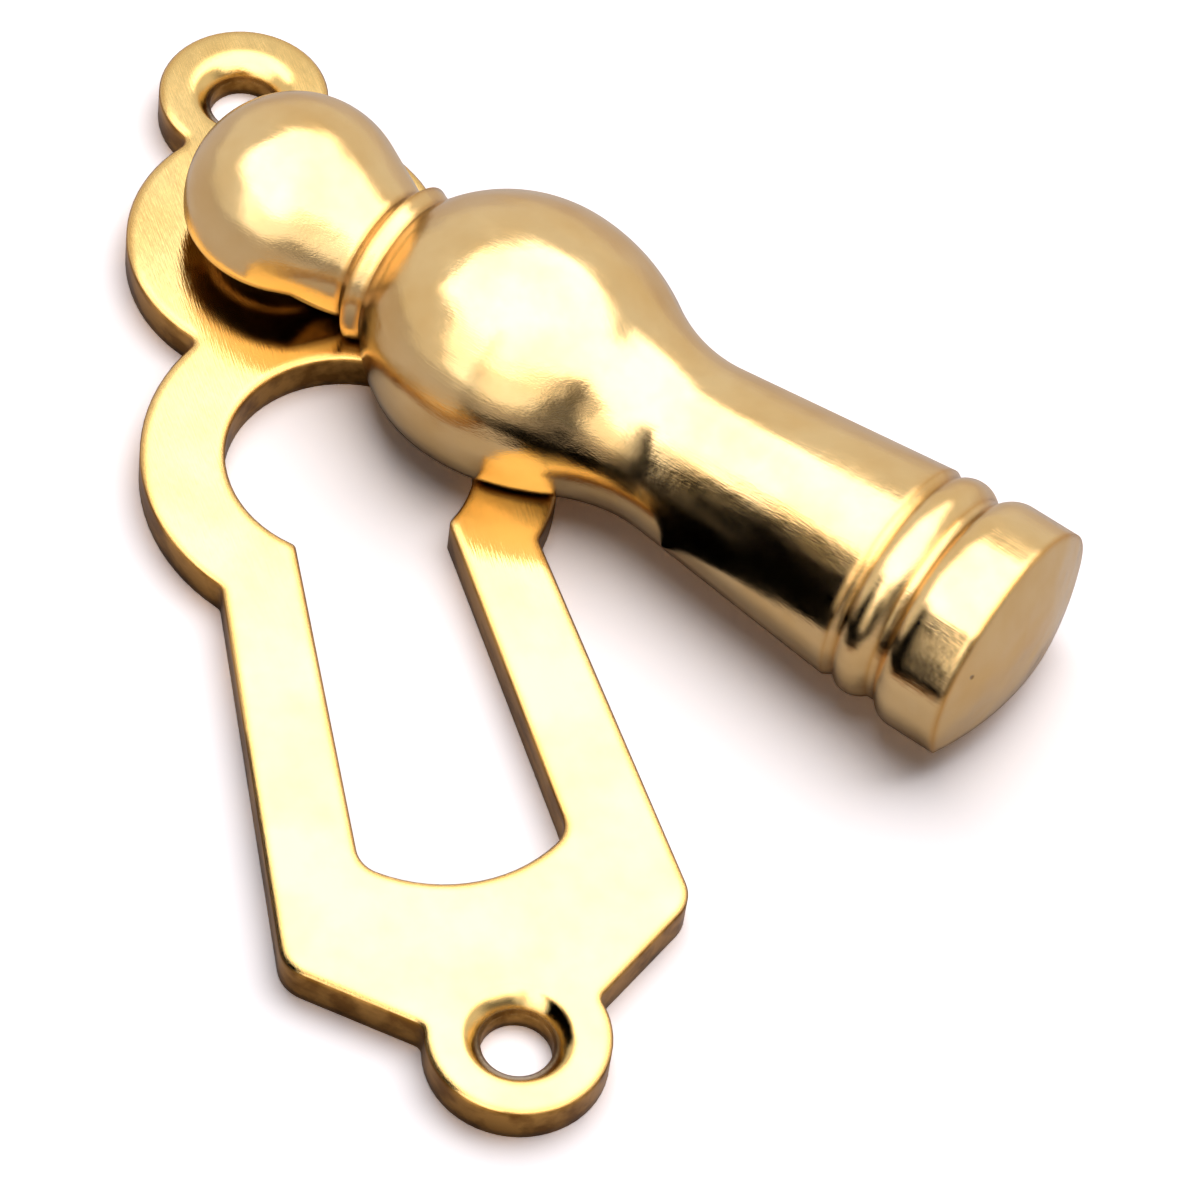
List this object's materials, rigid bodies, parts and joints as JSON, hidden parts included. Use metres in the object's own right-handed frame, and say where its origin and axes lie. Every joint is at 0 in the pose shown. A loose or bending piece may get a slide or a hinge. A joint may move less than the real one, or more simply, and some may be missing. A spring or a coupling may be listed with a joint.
{
  "type": "keyhole escutcheon",
  "caption": "Brass keyhole escutcheon: a flat plate with screw lobes and an open keyhole, and a heavy turned drop cover that swings on a pivot near the top.",
  "frame": {"origin": "midway between the two screw holes, on the plate's back face", "axes": "+Z out of the door, +Y up the plate towards the pivot, +X to the right seen from the front"},
  "size_m": [0.0405, 0.0632, 0.0112],
  "materials": {
    "brass": "polished",
    "rivet_brass": "satin"
  },
  "bodies": {
    "plate": {"backplate": "brass"},
    "cover": {"swing_cover": "brass", "pivot_rivet": "rivet_brass"}
  },
  "joints": [
    {"name": "cover_swing", "type": "hinge", "parent": "plate", "child": "cover", "pos_m": [0, 0.0186, 0], "axis": [0, 0, 1], "continuous": true}
  ]
}
